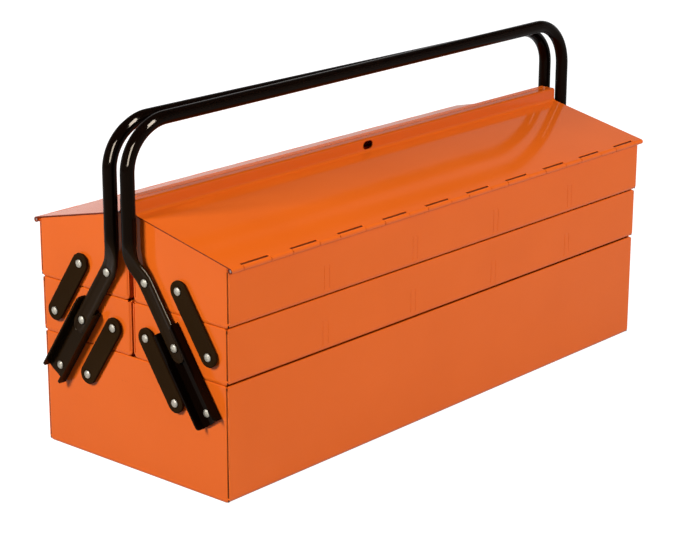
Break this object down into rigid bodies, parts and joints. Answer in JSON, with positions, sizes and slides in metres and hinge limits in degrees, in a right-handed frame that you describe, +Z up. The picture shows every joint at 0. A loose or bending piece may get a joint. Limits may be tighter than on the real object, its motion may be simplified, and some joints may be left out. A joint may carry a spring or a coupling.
{
  "type": "cantilever tool box",
  "caption": "Steel cantilever tool box with sloping hinged lids, tubular handles and trays that swing out to both sides on parallel links.",
  "frame": {"origin": "bottom centre of the box", "axes": "+X along the box to its right end, +Y to the rear long side, +Z up; front is -Y"},
  "size_m": [0.56, 0.2138, 0.2841],
  "materials": {
    "orange_paint": "gloss powder coat",
    "black_gloss": "gloss black enamel",
    "dark_link": "semi-gloss black-brown enamel",
    "zinc_steel": "zinc plated"
  },
  "bodies": {
    "base": {"base_shell": "orange_paint", "base_left_end": "orange_paint", "base_right_end": "orange_paint", "base_rivets": "zinc_steel"},
    "front_handle": {"front_handle": "black_gloss", "front_left_channel": "black_gloss", "front_right_channel": "black_gloss"},
    "front_middle_tray": {"front_middle_tray_shell": "orange_paint", "front_middle_tray_left_end": "orange_paint", "front_middle_tray_right_end": "orange_paint", "front_middle_tray_rivets": "zinc_steel"},
    "front_top_tray": {"front_top_tray_shell": "orange_paint", "front_top_tray_left_end": "orange_paint", "front_top_tray_right_end": "orange_paint", "front_top_tray_rivets": "zinc_steel", "front_hinge_wire": "zinc_steel"},
    "front_lid": {"front_lid": "orange_paint"},
    "front_left_lower_link": {"front_left_lower_link": "dark_link"},
    "front_left_upper_link": {"front_left_upper_link": "dark_link"},
    "front_right_lower_link": {"front_right_lower_link": "dark_link"},
    "front_right_upper_link": {"front_right_upper_link": "dark_link"},
    "rear_handle": {"rear_handle": "black_gloss", "rear_left_channel": "black_gloss", "rear_right_channel": "black_gloss"},
    "rear_middle_tray": {"rear_middle_tray_shell": "orange_paint", "rear_middle_tray_left_end": "orange_paint", "rear_middle_tray_right_end": "orange_paint", "rear_middle_tray_rivets": "zinc_steel"},
    "rear_top_tray": {"rear_top_tray_shell": "orange_paint", "rear_top_tray_left_end": "orange_paint", "rear_top_tray_right_end": "orange_paint", "rear_top_tray_rivets": "zinc_steel", "rear_hinge_wire": "zinc_steel"},
    "rear_lid": {"rear_lid": "orange_paint"},
    "rear_left_lower_link": {"rear_left_lower_link": "dark_link"},
    "rear_left_upper_link": {"rear_left_upper_link": "dark_link"},
    "rear_right_lower_link": {"rear_right_lower_link": "dark_link"},
    "rear_right_upper_link": {"rear_right_upper_link": "dark_link"}
  },
  "joints": [
    {"name": "front_handle_swing", "type": "hinge", "parent": "base", "child": "front_handle", "pos_m": [0, -0.0805, 0.0681], "axis": [1, 0, 0], "range_deg": [0, 68]},
    {"name": "front_middle_tray_level", "type": "hinge", "parent": "front_handle", "child": "front_middle_tray", "pos_m": [0, -0.0505, 0.1125], "axis": [1, 0, 0], "range_deg": [-68, 0]},
    {"name": "front_top_tray_level", "type": "hinge", "parent": "front_handle", "child": "front_top_tray", "pos_m": [0, -0.0205, 0.1569], "axis": [1, 0, 0], "range_deg": [-68, 0]},
    {"name": "front_left_lower_link_swing", "type": "hinge", "parent": "base", "child": "front_left_lower_link", "pos_m": [0, -0.048, 0.0681], "axis": [1, 0, 0], "range_deg": [0, 68]},
    {"name": "front_left_upper_link_swing", "type": "hinge", "parent": "front_middle_tray", "child": "front_left_upper_link", "pos_m": [0, -0.0835, 0.1125], "axis": [1, 0, 0], "range_deg": [0, 68]},
    {"name": "front_right_lower_link_swing", "type": "hinge", "parent": "base", "child": "front_right_lower_link", "pos_m": [0, -0.048, 0.0681], "axis": [1, 0, 0], "range_deg": [0, 68]},
    {"name": "front_right_upper_link_swing", "type": "hinge", "parent": "front_middle_tray", "child": "front_right_upper_link", "pos_m": [0, -0.0835, 0.1125], "axis": [1, 0, 0], "range_deg": [0, 68]},
    {"name": "front_lid_hinge", "type": "hinge", "parent": "front_top_tray", "child": "front_lid", "pos_m": [0, -0.1047, 0.18194], "axis": [1, 0, 0], "range_deg": [0, 57]},
    {"name": "rear_handle_swing", "type": "hinge", "parent": "base", "child": "rear_handle", "pos_m": [0, 0.0805, 0.0681], "axis": [-1, 0, 0], "range_deg": [0, 68]},
    {"name": "rear_middle_tray_level", "type": "hinge", "parent": "rear_handle", "child": "rear_middle_tray", "pos_m": [0, 0.0505, 0.1125], "axis": [-1, 0, 0], "range_deg": [-68, 0]},
    {"name": "rear_top_tray_level", "type": "hinge", "parent": "rear_handle", "child": "rear_top_tray", "pos_m": [0, 0.0205, 0.1569], "axis": [-1, 0, 0], "range_deg": [-68, 0]},
    {"name": "rear_left_lower_link_swing", "type": "hinge", "parent": "base", "child": "rear_left_lower_link", "pos_m": [0, 0.048, 0.0681], "axis": [-1, 0, 0], "range_deg": [0, 68]},
    {"name": "rear_left_upper_link_swing", "type": "hinge", "parent": "rear_middle_tray", "child": "rear_left_upper_link", "pos_m": [0, 0.0835, 0.1125], "axis": [-1, 0, 0], "range_deg": [0, 68]},
    {"name": "rear_right_lower_link_swing", "type": "hinge", "parent": "base", "child": "rear_right_lower_link", "pos_m": [0, 0.048, 0.0681], "axis": [-1, 0, 0], "range_deg": [0, 68]},
    {"name": "rear_right_upper_link_swing", "type": "hinge", "parent": "rear_middle_tray", "child": "rear_right_upper_link", "pos_m": [0, 0.0835, 0.1125], "axis": [-1, 0, 0], "range_deg": [0, 68]},
    {"name": "rear_lid_hinge", "type": "hinge", "parent": "rear_top_tray", "child": "rear_lid", "pos_m": [0, 0.1047, 0.18194], "axis": [-1, 0, 0], "range_deg": [0, 57]}
  ],
  "couplings": [
    {"joint": "front_middle_tray_level", "follows": "front_handle_swing", "ratio": -1},
    {"joint": "front_top_tray_level", "follows": "front_handle_swing", "ratio": -1},
    {"joint": "front_left_lower_link_swing", "follows": "front_handle_swing", "ratio": 1},
    {"joint": "front_left_upper_link_swing", "follows": "front_handle_swing", "ratio": 1},
    {"joint": "front_right_lower_link_swing", "follows": "front_handle_swing", "ratio": 1},
    {"joint": "front_right_upper_link_swing", "follows": "front_handle_swing", "ratio": 1},
    {"joint": "rear_middle_tray_level", "follows": "rear_handle_swing", "ratio": -1},
    {"joint": "rear_top_tray_level", "follows": "rear_handle_swing", "ratio": -1},
    {"joint": "rear_left_lower_link_swing", "follows": "rear_handle_swing", "ratio": 1},
    {"joint": "rear_left_upper_link_swing", "follows": "rear_handle_swing", "ratio": 1},
    {"joint": "rear_right_lower_link_swing", "follows": "rear_handle_swing", "ratio": 1},
    {"joint": "rear_right_upper_link_swing", "follows": "rear_handle_swing", "ratio": 1}
  ]
}
